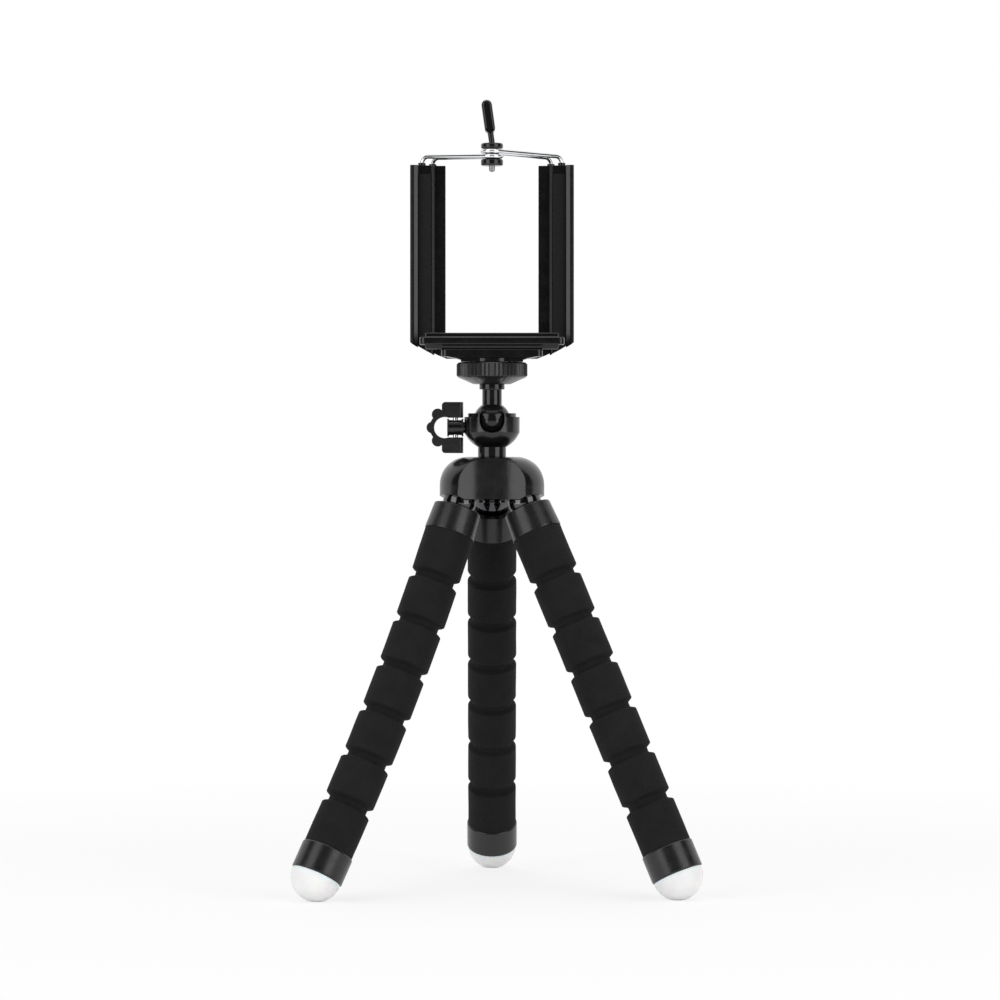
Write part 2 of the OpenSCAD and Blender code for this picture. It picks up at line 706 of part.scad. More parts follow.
module clip_spring() color(STEEL)
  translate([0, 0, arm_z + eye_t + turn_gap + spring_wire / 2])
    polyhedron(
      points = [for (n = [0:spring_last], s = [0:spring_sides - 1]) spring_point(n, s)],
      faces = tube_faces(spring_last, spring_sides, false)
    );

// Arms and jaws, drawn for the left side

arm_at = 180 - arm_fold;
along = [cos(arm_at), sin(arm_at)];
across = [along[1], -along[0]];

module rounded_below() {
  intersection() {
    children();
    translate([0, 0, arm_z - underside_dip + underside_r]) sphere(r = underside_r, $fn = 192);
  }
}

module arm(right) color(BLACK) on_side(right) {
  web_from = eye_d / 2 + 2 * swing_gap;
  eye_z = right ? arm_z : arm_top - eye_t;
  rounded_below() difference() {
    union() {
      translate([0, 0, arm_z]) linear_extrude(arm_h)
        polygon([
          web_from * along - arm_w / 2 * across,
          [-jaw_inner, recess_y + strip_back],
          [-jaw_inner, jaw_back - jaw_corner],
          web_from * along + arm_w / 2 * across
        ]);
      translate([0, 0, eye_z]) {
        cylinder(d = eye_d, h = eye_t);
        linear_extrude(eye_t) polygon([
          -arm_w / 2 * across,
          (web_from + over) * along - arm_w / 2 * across,
          (web_from + over) * along + arm_w / 2 * across,
          arm_w / 2 * across
        ]);
      }
    }
    translate([0, 0, arm_z - over])
      cylinder(d = sleeve_d + 2 * turn_gap, h = arm_h + 2 * over);
  }
}

// The jaw's outline: outer lip, recess, small rib and inner strip
module jaw_outline() {
  x0 = -jaw_outer;
  x1 = -jaw_inner;
  rib_x = x1 - strip_w;
  front = recess_y - lip_h;
  polygon([
    [x0, front + lip_slope],
    [x0 + lip_slope, front],
    [x0 + lip_w / 2, front],
    [x0 + lip_w, front + lip_slope],
    [x0 + lip_w, recess_y + over],
    [x0, recess_y + over]
  ]);
  translate([x0, recess_y]) square([jaw_w - strip_w, jaw_t - jaw_corner]);
  translate([x0, recess_y + strip_back]) square([jaw_w, jaw_t - strip_back - jaw_corner]);
  translate([x0 + jaw_corner, recess_y + strip_back])
    square([jaw_w - 2 * jaw_corner, jaw_t - strip_back]);
  for (x = [x0 + jaw_corner, x1 - jaw_corner])
    translate([x, jaw_back - jaw_corner]) circle(jaw_corner);
  translate([rib_x - rib_w, recess_y - rib_h + rib_w / 2]) square([rib_w, rib_h + over]);
  translate([rib_x - rib_w / 2, recess_y - rib_h + rib_w / 2]) circle(rib_w / 2);
}

// Puts children in a wire's frame: its loop at the origin, its two arms along -Y
module on_wire(right) {
  rotate([0, 0, arm_at + 90])
    translate([0, 0, right ? right_wire_z : left_wire_z])
      rotate([right ? wire_tilt : -wire_tilt, 0, 0])
        children();
}

module jaw(right) color(BLACK) on_side(right) difference() {
  union() {
    rounded_below() translate([0, 0, arm_z]) linear_extrude(jaw_top_z - arm_z) jaw_outline();
    on_wire(right) for (x = [-loop_r, loop_r])
      translate([x, -hole_reach, -wire_rise - over])
        cylinder(r = hole_r + ferrule_wall, h = ferrule_h + over);
  }
  on_wire(right) for (x = [-loop_r, loop_r])
    translate([x, -hole_reach, -wire_rise - wire_seat])
      cylinder(r = hole_r, h = wire_seat + wire_rise);
}

module pad(right) color(FOAM) on_side(right) {
  pad_low = arm_z + arm_h;
  translate([lip_w - jaw_outer + seat_gap, recess_y - pad_t, pad_low])
    cube([jaw_w - lip_w - strip_w - rib_w - 2 * seat_gap, pad_t, jaw_top_z - pad_end_gap - pad_low]);
}

// Wires and lock

module wire(right) color(CHROME) on_side(right) on_wire(right) {
  straight = hole_reach - wire_bend;
  rotate_extrude(angle = 180) translate([loop_r, 0]) circle(d = wire_d);
  for (x = [-loop_r, loop_r]) {
    translate([x, 0, 0]) rotate([90, 0, 0]) cylinder(d = wire_d, h = straight);
    translate([x, -straight, -wire_bend])
      rotate(a = 180, v = [1, 0, 1])
        rotate_extrude(angle = 90) translate([wire_bend, 0]) circle(d = wire_d);
    translate([x, -hole_reach, -wire_rise - wire_seat])
      cylinder(d = wire_d, h = wire_rise + wire_seat - wire_bend);
  }
}

module lock_nut() color(BLACK) difference() {
  union() {
    translate([0, 0, nut_top]) lobe(lock_d, 0, lock_nut_t, lock_edge, lock_edge);
    translate([0, 0, nut_top - over])
      cylinder(r = lock_sleeve_r, h = washer_z - loop_gap / 2 - nut_top + over);
  }
  translate([0, 0, nut_top - lock_nut_t - over])
    cylinder(d = lock_screw_d + 2 * turn_gap, h = washer_z - nut_top + lock_nut_t + 2 * over);
}

module lock_washer() color(BLACK) translate([0, 0, washer_z]) difference() {
  translate([0, 0, lock_washer_t]) lobe(lock_d, 0, lock_washer_t, lock_edge, lock_edge);
  translate([0, 0, -over])
    cylinder(d = lock_screw_d + 2 * seat_gap, h = lock_washer_t + 2 * over);
}

module lock_screw() color(STEEL) {
  low = nut_top - lock_nut_t - lock_tip;
  top = washer_z + lock_washer_t;
  point = lock_screw_d / 4;
  translate([0, 0, low]) cylinder(d1 = lock_screw_d - 2 * point, d2 = lock_screw_d, h = point);
  translate([0, 0, low + point]) cylinder(d = lock_screw_d, h = top - low - point);
}

// The paddle and its neck lean together on the washer
module lock_paddle() color(BLACK) translate([0, 0, washer_z + lock_washer_t]) difference() {
  r = paddle_t / 2;
  rotate([0, -paddle_lean, 0]) {
    translate([0, 0, -over]) cylinder(d = lock_screw_d, h = lock_neck + over + r);
    translate([0, paddle_w / 2, lock_neck]) rotate([90, 0, 0]) linear_extrude(paddle_w) {
      translate([-r, r]) square([paddle_t, paddle_h - paddle_t]);
      for (z = [r, paddle_h - r]) translate([0, z]) circle(r);
    }
  }
  translate([-lock_d, -lock_d, -lock_d]) cube([2 * lock_d, 2 * lock_d, lock_d]);
}

for (i = [0:len(LEGS) - 1]) {
  l = LEGS[i];
  root_ball(i);
  leg_collar(i);
  for (k = [1:SEGMENTS])
    foam_segment(i, k);
  core_wire(i);
  foot_collar(i);
  foot_tip(i);
}
hub();
head_screw();
head_socket();
ball_stem();
platform();
clamp_screw();
clamp_pin();
clamp_handle();
clip_base();
clip_cover();
clip_sleeve();
clip_spring();
arm(false);  // left_arm
arm(true);  // right_arm
jaw(false);  // left_jaw
jaw(true);  // right_jaw
pad(false);  // left_pad
pad(true);  // right_pad
wire(false);  // left_wire
wire(true);  // right_wire
lock_nut();
lock_washer();
lock_screw();
lock_paddle();
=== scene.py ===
"""Looks of a tabletop tripod: bendable foam legs, a ball head and a phone clip. Everything is in metres."""

import json
import math

import bmesh
import bpy
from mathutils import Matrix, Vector, noise


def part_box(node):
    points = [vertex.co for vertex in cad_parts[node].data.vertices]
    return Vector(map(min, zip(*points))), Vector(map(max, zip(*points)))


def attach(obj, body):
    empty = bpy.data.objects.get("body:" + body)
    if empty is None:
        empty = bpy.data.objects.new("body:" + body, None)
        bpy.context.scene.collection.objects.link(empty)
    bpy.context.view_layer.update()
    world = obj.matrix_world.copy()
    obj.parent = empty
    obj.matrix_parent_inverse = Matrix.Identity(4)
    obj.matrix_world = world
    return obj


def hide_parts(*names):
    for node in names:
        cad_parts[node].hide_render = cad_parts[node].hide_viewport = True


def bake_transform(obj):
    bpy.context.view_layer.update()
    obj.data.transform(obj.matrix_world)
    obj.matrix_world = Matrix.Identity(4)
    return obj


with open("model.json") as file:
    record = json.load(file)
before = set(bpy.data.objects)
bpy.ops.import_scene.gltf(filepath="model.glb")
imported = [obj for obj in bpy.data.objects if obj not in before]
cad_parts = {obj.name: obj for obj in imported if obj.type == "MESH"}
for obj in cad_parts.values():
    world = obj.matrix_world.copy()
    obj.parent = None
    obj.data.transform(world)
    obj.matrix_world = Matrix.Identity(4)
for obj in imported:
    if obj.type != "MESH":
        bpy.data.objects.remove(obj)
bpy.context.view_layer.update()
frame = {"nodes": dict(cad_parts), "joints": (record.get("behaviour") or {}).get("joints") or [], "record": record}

MM = 0.001
JOINTS = {joint["name"]: joint for joint in frame["joints"]}
MOUNTS = {mount["name"]: mount for mount in frame["record"]["mounts"]}
BODY_OF = {node: body for body, nodes in frame["record"]["behaviour"]["bodies"].items() for node in nodes}
SLOT_OF = {part["node"]: part["material_slot"] for part in frame["record"]["subparts"]}
LEGS = ("back", "left", "right")
SIDES = ("left", "right")
GROOVES = 6

# Legs
COLLAR_BOTTOM = 12.1 * MM
SEGMENT = 17.0 * MM
FOAM_R = 8.75 * MM
BORE_R = 2.3 * MM
CORE_R = 2.0 * MM
CORE_TOP = 10.0 * MM
CORE_END = 21.9 * MM
ROOT_BALL_R = 6.0 * MM
BALL_ROOM = 0.4 * MM
FOOT_MID = 8.5 * MM
GROOVE_DEPTH = 1.75 * MM
GROOVE_FLOOR = 0.75 * MM
GROOVE_HALF = 2.15 * MM
FOAM_WOBBLE = 0.09 * MM
WOBBLE_SIZE = 9.0 * MM
RING_STEP = 0.28 * MM
FOAM_SIDES = 72
CORE_SIDES = 24

# Closing spring
SPRING_WIRE_R = 0.35 * MM
SPRING_TURNS = 2
SPRING_STEPS = 48
SPRING_SIDES = 12

# Edges of moulded and turned pieces: what counts as one point, as flat and as sharp, and a rounding's faces
WELD = 0.001 * MM
COARSE_WELD = 0.08 * MM
FLAT_ANGLE = math.radians(0.5)
SHARP_ANGLE = math.radians(32)
EDGE_FACETS = 2
SHELF_FACETS = 3
PADDLE_FACETS = 5

# Heights above a piece's bottom between which its edges are rounded
WHOLE = (-1 * MM, 1000 * MM)
HUB_FLANKS = (2.3 * MM, 13.5 * MM)
SHELF_SIDES = (1.6 * MM, 5.0 * MM)
PADDLE_SIDES = (4.5 * MM, 16.0 * MM)

# Range that the shaders' noise hardly leaves, and the blue of a grey against its red and green
NOISE_LOW = 0.3
NOISE_HIGH = 0.7
COOL = 1.03

# Camera, with the photograph's framing in pixels
PICTURE = 1000
AXIS_X = 492
HORIZON_Y = 465
CAMERA_AWAY = 1.408
CAMERA_HEIGHT = 0.149
LENS = 144
SENSOR = 36
CLIP_START = 0.05
CLIP_END = 50


def make_camera():
    data = bpy.data.cameras.new("camera")
    data.lens = LENS
    data.sensor_width = SENSOR
    data.shift_x = (PICTURE / 2 - AXIS_X) / PICTURE
    data.shift_y = (HORIZON_Y - PICTURE / 2) / PICTURE
    data.clip_start = CLIP_START
    data.clip_end = CLIP_END
    camera = bpy.data.objects.new("camera", data)
    camera.location = (0, -CAMERA_AWAY, CAMERA_HEIGHT)
    camera.rotation_euler = (math.radians(90), 0, 0)
    bpy.context.scene.collection.objects.link(camera)
    bpy.context.scene.camera = camera


make_camera()


class Wire:
    """An output of a shader node, or a node tree to start from. Arithmetic on it adds Math nodes."""

    def __init__(self, tree, socket=None):
        self.tree = tree
        self.socket = socket

    def node(self, kind, settings=None, inputs=None, output=0):
        """Adds a node: its settings first, then the values or links of its sockets."""
        made = self.tree.nodes.new(kind)
        for name, value in (settings or {}).items():
            if name == "stops":
                self.set_stops(made.color_ramp.elements, value)
            else:
                setattr(made, name, value)
        for name, value in (inputs or {}).items():
            if isinstance(value, Wire):
                self.tree.links.new(value.socket, made.inputs[name])
            else:
                made.inputs[name].default_value = value
        return Wire(self.tree, made.outputs[output])

    @staticmethod
    def set_stops(elements, stops):
        while len(elements) < len(stops):
            elements.new(1.0)
        for element, (position, colour) in zip(elements, stops):
            element.position = position
            element.color = (*colour, 1.0)

    def into(self, socket):
        self.tree.links.new(self.socket, socket)

    def maths(self, operation, other):
        return self.node("ShaderNodeMath", {"operation": operation}, {0: self, 1: other})

    def __add__(self, other):
        return self.maths("ADD", other)

    __radd__ = __add__

    def __mul__(self, other):
        return self.maths("MULTIPLY", other)

    __rmul__ = __mul__

    def noise(self, size, detail, roughness=0.55):
        """Cloudy noise from 0 to 1 over this place, with spots of about this size."""
        inputs = {"Vector": self, "Scale": 1 / size, "Detail": detail, "Roughness": roughness}
        return self.node("ShaderNodeTexNoise", None, inputs, "Fac")

    def ramp(self, low_colour, high_colour, low=NOISE_LOW, high=NOISE_HIGH):
        """A colour that goes from one to the other as this value rises from low to high."""
        stops = [(low, low_colour), (high, high_colour)]
        return self.node("ShaderNodeValToRGB", {"stops": stops}, {"Fac": self}, "Color")

    def spread(self, to_low, to_high, low=NOISE_LOW, high=NOISE_HIGH):
        """This value, mapped from one range onto another and kept inside it."""
        inputs = {"Value": self, "From Min": low, "From Max": high, "To Min": to_low, "To Max": to_high}
        return self.node("ShaderNodeMapRange", {"clamp": True}, inputs, "Result")

    def bump(self, depth, strength):
        inputs = {"Height": self, "Distance": depth, "Strength": strength}
        return self.node("ShaderNodeBump", None, inputs, "Normal")


def grey(value):
    return (value, value, value * COOL)


def start_material(name, **constants):
    """A new material with its Principled shader's plain values, and a Wire at each point's place."""
    material = bpy.data.materials.new(name)
    material.use_nodes = True
    shader = material.node_tree.nodes["Principled BSDF"]
    for socket, value in constants.items():
        shader.inputs[socket.replace("_", " ")].default_value = value
    tree = Wire(material.node_tree)
    place = tree.node("ShaderNodeTexCoord", output="Object")
    return material, shader.inputs, place


def foam_finish():
    """Matte closed-cell foam: fine pores, a cloudy tone and a slightly felted surface."""
    material, sockets, place = start_material("foam", Specular_IOR_Level=0.25)
    cloud = place.noise(size=6 * MM, detail=4)
    grain = place.noise(size=0.5 * MM, detail=2)
    cell = 0.55 * MM
    at_cells = {"Vector": place, "Scale": 1 / cell}
    cells = place.node("ShaderNodeTexVoronoi", {"feature": "F1"}, at_cells, "Distance")
    tone = cloud * 0.6 + grain * 0.4
    tone.ramp(grey(0.005), grey(0.010), low=0.32, high=0.68).into(sockets["Base Color"])
    grain.spread(0.82, 0.96).into(sockets["Roughness"])
    pores = cells * 0.7 + grain * 0.5
    pores.bump(depth=0.12 * MM, strength=0.55).into(sockets["Normal"])
    return material


def moulded_finish(name, dark, light, roughness, grain_depth):
    """Black moulded plastic: faint flow marks, fine grain and a handled sheen that changes slowly."""
    material, sockets, place = start_material(name, Specular_IOR_Level=0.5)
    flow = place.noise(size=14 * MM, detail=3)
    smudge = place.noise(size=4 * MM, detail=4, roughness=0.65)
    grain = place.noise(size=0.22 * MM, detail=2)
    flow.ramp(grey(dark), grey(light)).into(sockets["Base Color"])
    (smudge.spread(-0.05, 0.07) + roughness).into(sockets["Roughness"])
    (grain + smudge * 0.4).bump(depth=grain_depth, strength=0.3).into(sockets["Normal"])
    return material


def metal_finish(name, dull, bright, smooth, rough, scratch_size):
    """Polished or turned metal with faint haze and fine scratches."""
    material, sockets, place = start_material(name, Metallic=1.0)
    haze = place.noise(size=5 * MM, detail=3)
    scratches = place.noise(size=scratch_size, detail=4, roughness=0.7)
    haze.ramp(dull, bright).into(sockets["Base Color"])
    (haze * 0.5 + scratches * 0.5).spread(smooth, rough).into(sockets["Roughness"])
    scratches.bump(depth=0.02 * MM, strength=0.15).into(sockets["Normal"])
    return material


def foot_finish():
    """Milky translucent rubber, a little cloudy, with light passing into it."""
    material, sockets, place = start_material("foot_rubber", Subsurface_Weight=0.35, Subsurface_Scale=4 * MM)
    cloud = place.noise(size=7 * MM, detail=3)
    grain = place.noise(size=0.4 * MM, detail=2)
    cloud.ramp((0.80, 0.81, 0.81), (0.88, 0.88, 0.87)).into(sockets["Base Color"])
    grain.spread(0.38, 0.52).into(sockets["Roughness"])
    grain.bump(depth=0.05 * MM, strength=0.25).into(sockets["Normal"])
    return material


def pad_finish():
    """Soft black rubber strip with fine cross ribs."""
    material, sockets, place = start_material("pad_rubber", Specular_IOR_Level=0.2)
    bands = {"bands_direction": "Z", "wave_type": "BANDS"}
    ribs = place.node("ShaderNodeTexWave", bands, {"Vector": place, "Scale": 320.0}, "Fac")
    grain = place.noise(size=0.4 * MM, detail=3)
    grain.ramp(grey(0.005), grey(0.009)).into(sockets["Base Color"])
    grain.spread(0.55, 0.7).into(sockets["Roughness"])
    (ribs + grain * 0.3).bump(depth=0.15 * MM, strength=0.5).into(sockets["Normal"])
    return material


FINISH = {
    "foam": foam_finish(),
    "black_plastic": moulded_finish(
        "black_plastic", dark=0.004, light=0.007, roughness=0.17, grain_depth=0.006 * MM
    ),
    "collar": moulded_finish(
        "satin_plastic", dark=0.007, light=0.011, roughness=0.28, grain_depth=0.012 * MM
    ),
    "hub": moulded_finish(
        "hub_plastic", dark=0.004, light=0.007, roughness=0.20, grain_depth=0.006 * MM
    ),
    "dark_metal": moulded_finish(
        "black_enamel", dark=0.004, light=0.007, roughness=0.14, grain_depth=0.005 * MM
    ),
    "chrome": metal_finish(
        "chrome", dull=(0.74, 0.75, 0.77), bright=(0.86, 0.87, 0.88),
        smooth=0.05, rough=0.13, scratch_size=0.8 * MM
    ),
    # Chrome with its colour darkened all over: painted shade standing in for the hub's shade on the root balls
    "chrome_with_painted_shade": metal_finish(
        "chrome_with_painted_shade", dull=(0.07, 0.07, 0.075), bright=(0.11, 0.11, 0.115),
        smooth=0.06, rough=0.14, scratch_size=0.8 * MM
    ),
    "steel": metal_finish(
        "steel", dull=(0.30, 0.30, 0.31), bright=(0.42, 0.42, 0.43),
        smooth=0.24, rough=0.38, scratch_size=0.3 * MM
    ),
    "brass": metal_finish(
        "brass", dull=(0.60, 0.44, 0.18), bright=(0.74, 0.58, 0.28),
        smooth=0.22, rough=0.34, scratch_size=0.3 * MM
    ),
    "foot_rubber": foot_finish(),
    "pad_rubber": pad_finish(),
}


def add_piece(name, bm, finish):
    """Makes a mesh object from bm, smooth apart from its sharp edges."""
    bmesh.ops.recalc_face_normals(bm, faces=bm.faces)
    mesh = bpy.data.meshes.new(name)
    bm.to_mesh(mesh)
    bm.free()
    if "custom_normal" in mesh.attributes:
        mesh.attributes.remove(mesh.attributes["custom_normal"])
    mesh.shade_smooth()
    mesh.set_sharp_from_angle(angle=SHARP_ANGLE)
    mesh.materials.clear()
    mesh.materials.append(FINISH[finish])
    piece = bpy.data.objects.new(name, mesh)
    bpy.context.scene.collection.objects.link(piece)
    return piece


def join_rings(bm, rings, closed):
    """Faces between rings of points; closed, the last ring meets the first, and else both get a cap."""
    grid = [[bm.verts.new(point) for point in ring] for ring in rings]
    count = len(grid[0])
    pairs = list(zip(grid, grid[1:]))
    if closed:
        pairs.append((grid[-1], grid[0]))
    for near, far in pairs:
        for n in range(count):
            m = (n + 1) % count
            bm.faces.new((near[n], near[m], far[m], far[n]))
    if not closed:
        bm.faces.new(grid[0])
        bm.faces.new(grid[-1])


def ring(middle, side, up, radius, count):
    """Points round a middle; radius is a number, or a function of the middle and the outward direction."""
    points = []
    for n in range(count):
        angle = math.tau * n / count
        out = side * math.cos(angle) + up * math.sin(angle)
        r = radius(middle, out) if callable(radius) else radius
        points.append(middle + out * r)
    return points


# Rigid pieces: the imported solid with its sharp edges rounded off, or as it is


def softened(node, width, finish=None, facets=EDGE_FACETS, weld=WELD, span=None):
    """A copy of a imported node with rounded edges, shown in its place.

    Close edges narrow the rounding. With a span it keeps its full width, but only on the convex edges between
    two heights above the piece's bottom.
    """
    bm = bmesh.new()
    bm.from_mesh(frame["nodes"][node].data)
    bmesh.ops.remove_doubles(bm, verts=bm.verts, dist=weld)
    bmesh.ops.dissolve_limit(bm, angle_limit=FLAT_ANGLE, verts=bm.verts, edges=bm.edges)
    sharp = [e for e in bm.edges if len(e.link_faces) == 2 and e.calc_face_angle() > SHARP_ANGLE]
    if span:
        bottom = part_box(node)[0].z
        low, high = bottom + span[0], bottom + span[1]
        sharp = [e for e in sharp if e.is_convex and all(low < v.co.z < high for v in e.verts)]
    narrowed = span is None
    bmesh.ops.bevel(
        bm, geom=sharp, offset=width, segments=facets, profile=0.5, affect="EDGES", clamp_overlap=narrowed
    )
    slot = SLOT_OF[node]
    piece = add_piece(node + "_finished", bm, finish or slot)
    weighted = piece.modifiers.new("even_shading", "WEIGHTED_NORMAL")
    weighted.keep_sharp = True
    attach(piece, BODY_OF[node])
    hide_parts(node)


def dressed(node, finish=None):
    """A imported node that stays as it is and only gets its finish."""
    materials = frame["nodes"][node].data.materials
    materials.clear()
    materials.append(FINISH[finish or SLOT_OF[node]])


# Legs: foam sleeves and the core wire, cut in the middle of each segment so that each length holds one groove


class Leg:
    """The line of a leg, from its root ball through its grooves to its foot."""

    def __init__(self, name):
        self.name = name
        self.side = Vector(JOINTS[name + "_spread"]["axis"])
        root = Vector(JOINTS[name + "_spread"]["pos_m"])
        foot = Vector(MOUNTS[name + "_foot"]["pos_m"]) + Vector((0, 0, FOOT_MID))
        grooves = [Vector(JOINTS[f"{name}_bend_{k}"]["pos_m"]) for k in range(1, GROOVES + 1)]
        self.stops = [root, *grooves, foot]

    def along(self, k):
        """Direction of the segment after stop k, towards the foot."""
        return (self.stops[k + 1] - self.stops[k]).normalized()

    def ring_at(self, k, s, radius, count):
        """A ring at a distance s after stop k, or before it where s is negative."""
        way = self.along(k) if s >= 0 or k == 0 else self.along(k - 1)
        middle = self.stops[k] + way * s
        return ring(middle, self.side, self.side.cross(way), radius, count)


def steps(low, high, size):
    """Even steps of about this size from low to high."""
    count = max(1, math.ceil((high - low) / size))
    return [low + (high - low) * n / count for n in range(count + 1)]


def groove_shape(s):
    """Share of a groove's depth at a distance s from its middle."""
    t = (abs(s) - GROOVE_FLOOR) / (GROOVE_HALF - GROOVE_FLOOR)
    t = min(1.0, max(0.0, t))
    return 1 - t * t * (3 - 2 * t)


def foam_radius(s, grooved):
    """The foam's radius at a distance s from a stop, as a function for a ring: it is a little uneven."""
    depth = GROOVE_DEPTH * groove_shape(s) if grooved else 0

    def at(middle, out):
        place = (middle + out * FOAM_R) / WOBBLE_SIZE
        return FOAM_R - depth + FOAM_WOBBLE * noise.noise(place)

    return at


def sleeve(leg, name, k, low, high, grooved):
    """Foam with its bore, from low to high along the leg about stop k."""
    bm = bmesh.new()
    outer = [leg.ring_at(k, s, foam_radius(s, grooved), FOAM_SIDES) for s in steps(low, high, RING_STEP)]
    inner = [leg.ring_at(k, s, BORE_R, FOAM_SIDES) for s in (high, (low + high) / 2, low)]
    join_rings(bm, outer + inner, True)
    piece = add_piece(name, bm, "foam")
    return piece


def core(leg, name, k, low, high):
    """A length of the core wire, from low to high along the leg about stop k."""
    bm = bmesh.new()
    join_rings(bm, [leg.ring_at(k, s, CORE_R, CORE_SIDES) for s in steps(low, high, RING_STEP)], False)
    return add_piece(name, bm, "steel")


def bend_at(leg, piece, k):
    """Bakes the piece's place into its mesh. The ends of groove k's width are worked out but not used."""
    start = leg.stops[k] - leg.along(k - 1) * GROOVE_HALF
    end = leg.stops[k] + leg.along(k) * GROOVE_HALF
    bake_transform(piece)


def dress_leg(name):
    """A leg's foam and core wire, length by length, and its rigid pieces."""
    leg = Leg(name)
    half = SEGMENT / 2
    first_half = COLLAR_BOTTOM + half
    foam = [f"{name}_foam_{k}" for k in range(1, GROOVES + 2)]
    wire = name + "_core_wire"

    top = sleeve(leg, name + "_foam_top", 0, COLLAR_BOTTOM, first_half, False)
    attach(top, name + "_leg_1")
    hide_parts(foam[0])
    anchor = core(leg, name + "_core_anchor", 0, -CORE_TOP, ROOT_BALL_R - BALL_ROOM)
    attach(anchor, "hub")
    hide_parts(wire)
    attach(core(leg, name + "_core_top", 0, ROOT_BALL_R + BALL_ROOM, first_half), name + "_leg_1")

    for k in range(1, GROOVES + 1):
        bend = sleeve(leg, f"{name}_foam_bend_{k}", k, -half, half, True)
        bend_at(leg, bend, k)
        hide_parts(foam[k - 1], foam[k])
        bend_at(leg, core(leg, f"{name}_core_bend_{k}", k, -half, half), k)

    last = f"{name}_leg_{GROOVES + 1}"
    end = sleeve(leg, name + "_foam_end", GROOVES, half, SEGMENT, False)
    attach(end, last)
    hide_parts(foam[GROOVES])
    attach(core(leg, name + "_core_end", GROOVES, half, CORE_END), last)

    # The root balls get chrome darkened as painted shade of the hub above them
    dressed(name + "_root_ball", "chrome_with_painted_shade")
    softened(name + "_leg_collar", width=0.35 * MM, finish="collar")
    softened(name + "_foot_collar", width=0.1 * MM, finish="collar")
    softened(name + "_foot_tip", width=0.15 * MM)


for leg_name in LEGS:
    dress_leg(leg_name)

# Hub, ball head and clamp

softened("hub", width=0.12 * MM, finish="hub", span=HUB_FLANKS)
softened("head_socket", width=0.25 * MM)
softened("ball_stem", width=0.2 * MM)
softened("platform", width=0.1 * MM, finish="collar", span=WHOLE)
softened("clamp_screw", width=0.1 * MM, finish="dark_metal", span=WHOLE)
softened("clamp_handle", width=0.22 * MM, finish="collar", span=WHOLE)
dressed("head_screw")
dressed("clamp_pin")

# Phone clip


def make_spring():
    """The closing spring: a round wire wound about the clip's axis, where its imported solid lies."""
    low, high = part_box("clip_spring")
    radius = (high.x - low.x) / 2 - SPRING_WIRE_R
    rise = high.z - low.z - 2 * SPRING_WIRE_R
    last = SPRING_TURNS * SPRING_STEPS
    rings = []
    for n in range(last + 1):
        angle = math.tau * n / SPRING_STEPS
        out = Vector((math.cos(angle), math.sin(angle), 0))
        middle = out * radius + Vector((0, 0, low.z + SPRING_WIRE_R + rise * n / last))
        rings.append(ring(middle, out, Vector((0, 0, 1)), SPRING_WIRE_R, SPRING_SIDES))
    bm = bmesh.new()
    join_rings(bm, rings, False)
    spring = add_piece("clip_spring_wound", bm, "steel")
    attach(spring, "clip")
    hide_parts("clip_spring")


softened("clip_base", width=0.4 * MM, facets=SHELF_FACETS, span=SHELF_SIDES)
softened("clip_cover", width=0.5 * MM, facets=SHELF_FACETS)
softened("clip_sleeve", width=0.1 * MM)
make_spring()
for side in SIDES:
    dressed(side + "_arm")
    softened(side + "_jaw", width=0.3 * MM, weld=COARSE_WELD)
    softened(side + "_pad", width=0.15 * MM)
    dressed(side + "_wire")
softened("lock_nut", width=0.3 * MM)
softened("lock_washer", width=0.2 * MM)
softened("lock_screw", width=0.1 * MM)
softened("lock_paddle", width=1.0 * MM, facets=PADDLE_FACETS, span=PADDLE_SIDES)

# Studio: white behind and below, a dark room in front with two tall soft boxes, and one soft box above

FLOOR_R = 0.9
FLOOR_SIDES = 96
FLOOR_FADE_START = 0.16
FLOOR_FADE_END = 0.55
FLOOR_TONE = 0.96
FLOOR_WHITE = 0.72  # share of plain white in the floor that is seen, next to the feet
ROOM_R = 2.4
ROOM_HEIGHT = 3.0
ROOM_HALF_ANGLE = math.radians(100)
ROOM_STEPS = 40
ROOM_BLACK = (0.01, 0.01, 0.01, 1)
FILL = 0.55  # strength of the world for diffuse light
AIM = Vector((0, 0, 0.14))
SIDE_BOX_AWAY = 0.97
SIDE_BOX_HEIGHT = 0.5
SIDE_BOX_SIZE = (0.9, 1.3)
SIDE_BOX_RADIANCE = 2.1
TOP_BOX_PLACE = (0.0, 0.15, 1.3)
TOP_BOX_SIZE = (0.9, 0.9)
TOP_BOX_RADIANCE = 1.6


def soft_box(name, place, size, radiance):
    """A flat lamp that faces the object, as bright all over as the radiance says."""
    width, height = size
    data = bpy.data.lights.new(name, "AREA")
    data.shape = "RECTANGLE"
    data.size = width
    data.size_y = height
    data.energy = radiance * math.pi * width * height
    lamp = bpy.data.objects.new(name, data)
    lamp.location = place
    lamp.rotation_euler = (AIM - Vector(place)).to_track_quat("-Z", "Y").to_euler()
    bpy.context.scene.collection.objects.link(lamp)


def stage_mesh(name, points, faces, material):
    """A mesh of the studio, which is no piece of the object."""
    mesh = bpy.data.meshes.new(name)
    mesh.from_pydata(points, [], faces)
    mesh.materials.append(material)
    made = bpy.data.objects.new(name, mesh)
    bpy.context.scene.collection.objects.link(made)
    return made


def in_sight(tree):
    """1 for what the camera sees, itself, in a mirror or through clear things, and 0 for diffuse light."""
    camera = tree.node("ShaderNodeLightPath", output="Is Camera Ray")
    mirrored = tree.node("ShaderNodeLightPath", output="Is Glossy Ray")
    through = tree.node("ShaderNodeLightPath", output="Is Transmission Ray")
    return camera + mirrored + through


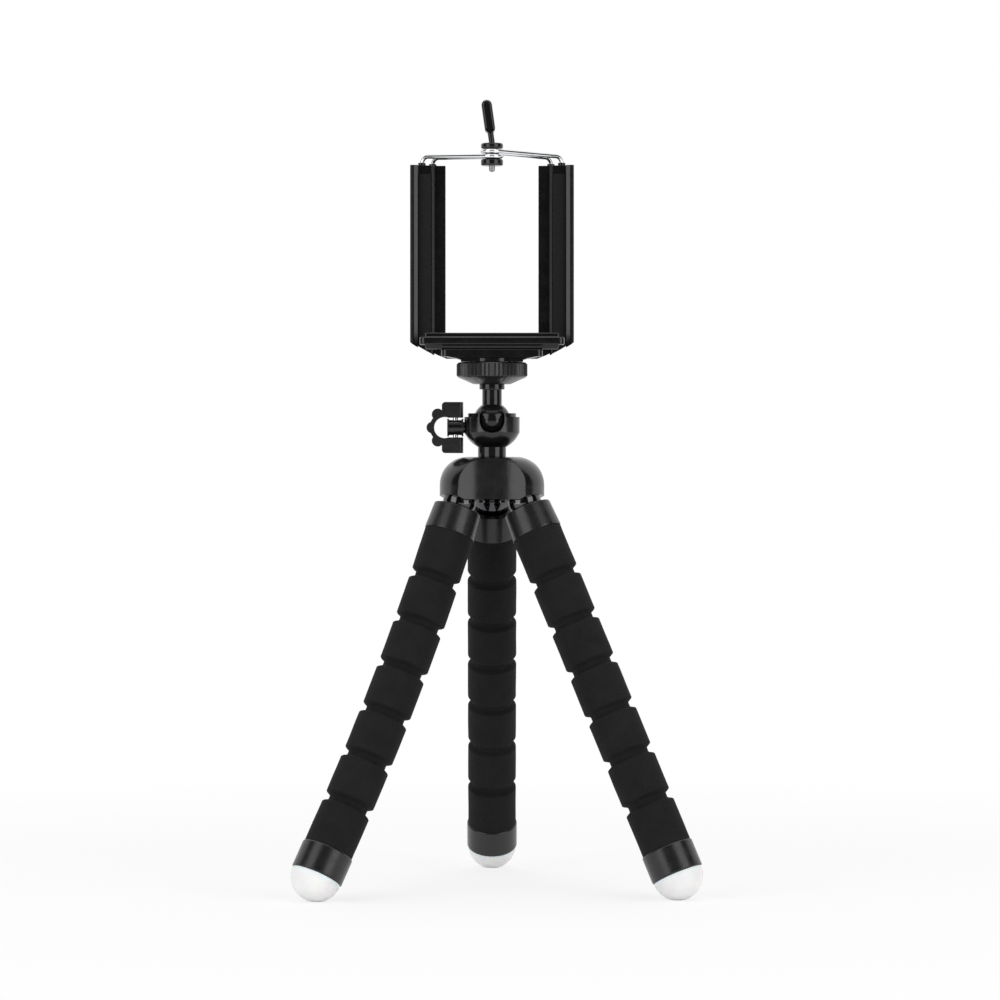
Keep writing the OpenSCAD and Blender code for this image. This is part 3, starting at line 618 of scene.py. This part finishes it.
def make_floor():
    """A pale floor that keeps the shadow and fades out, seen mostly as plain white."""
    material = bpy.data.materials.new("pale_floor")
    material.use_nodes = True
    nodes = material.node_tree.nodes
    nodes.remove(nodes["Principled BSDF"])
    tree = Wire(material.node_tree)
    place = tree.node("ShaderNodeTexCoord", output="Object")
    away = place.node("ShaderNodeVectorMath", {"operation": "LENGTH"}, {0: place}, "Value")
    fade = away.node(
        "ShaderNodeMapRange", {"interpolation_type": "SMOOTHSTEP"},
        {"Value": away, "From Min": FLOOR_FADE_START, "From Max": FLOOR_FADE_END}, "Result"
    )
    pale = tree.node("ShaderNodeBsdfDiffuse", None, {"Color": (FLOOR_TONE, FLOOR_TONE, FLOOR_TONE, 1)})
    clear = tree.node("ShaderNodeBsdfTransparent")
    white = tree.node("ShaderNodeEmission", None, {"Color": (1, 1, 1, 1), "Strength": 1.0})
    unseen = tree.node("ShaderNodeMixShader", None, {0: fade, 1: pale, 2: clear})
    whiter = fade.spread(FLOOR_WHITE, 1, low=0, high=1)
    seen = tree.node("ShaderNodeMixShader", None, {0: whiter, 1: pale, 2: white})
    mixed = tree.node("ShaderNodeMixShader", None, {0: in_sight(tree), 1: unseen, 2: seen})
    mixed.into(nodes["Material Output"].inputs["Surface"])
    around = [math.tau * n / FLOOR_SIDES for n in range(FLOOR_SIDES)]
    points = [(FLOOR_R * math.cos(a), FLOOR_R * math.sin(a), 0) for a in around]
    stage_mesh("floor", points, [range(len(points))], material)


def make_room():
    """Dark walls round the camera that only reflections see, so that black faces towards it stay black."""
    material = bpy.data.materials.new("dark_room")
    material.use_nodes = True
    material.node_tree.nodes["Principled BSDF"].inputs["Base Color"].default_value = ROOM_BLACK
    points = []
    for n in range(ROOM_STEPS + 1):
        angle = ROOM_HALF_ANGLE * (2 * n / ROOM_STEPS - 1)
        x = ROOM_R * math.sin(angle)
        y = -ROOM_R * math.cos(angle)
        points += [(x, y, 0), (x, y, ROOM_HEIGHT)]
    faces = [(2 * n, 2 * n + 2, 2 * n + 3, 2 * n + 1) for n in range(ROOM_STEPS)]
    room = stage_mesh("dark_room", points, faces, material)
    room.visible_camera = False
    room.visible_diffuse = False
    room.visible_shadow = False
    room.visible_transmission = False


def make_world():
    """White to the camera, to reflections and through clear things, and a plain fill for diffuse light."""
    world = bpy.data.worlds.new("studio")
    bpy.context.scene.world = world
    world.use_nodes = True
    background = world.node_tree.nodes["Background"]
    tree = Wire(world.node_tree)
    in_sight(tree).spread(FILL, 1.0, low=0, high=1).into(background.inputs["Strength"])
    background.inputs["Color"].default_value = (1, 1, 1, 1)


make_floor()
make_room()
make_world()
for side, x in zip(SIDES, (-SIDE_BOX_AWAY, SIDE_BOX_AWAY)):
    soft_box(side + "_soft_box", (x, -SIDE_BOX_AWAY, SIDE_BOX_HEIGHT), SIDE_BOX_SIZE, SIDE_BOX_RADIANCE)
soft_box("top_soft_box", TOP_BOX_PLACE, TOP_BOX_SIZE, TOP_BOX_RADIANCE)
bpy.context.scene.view_settings.view_transform = "Standard"
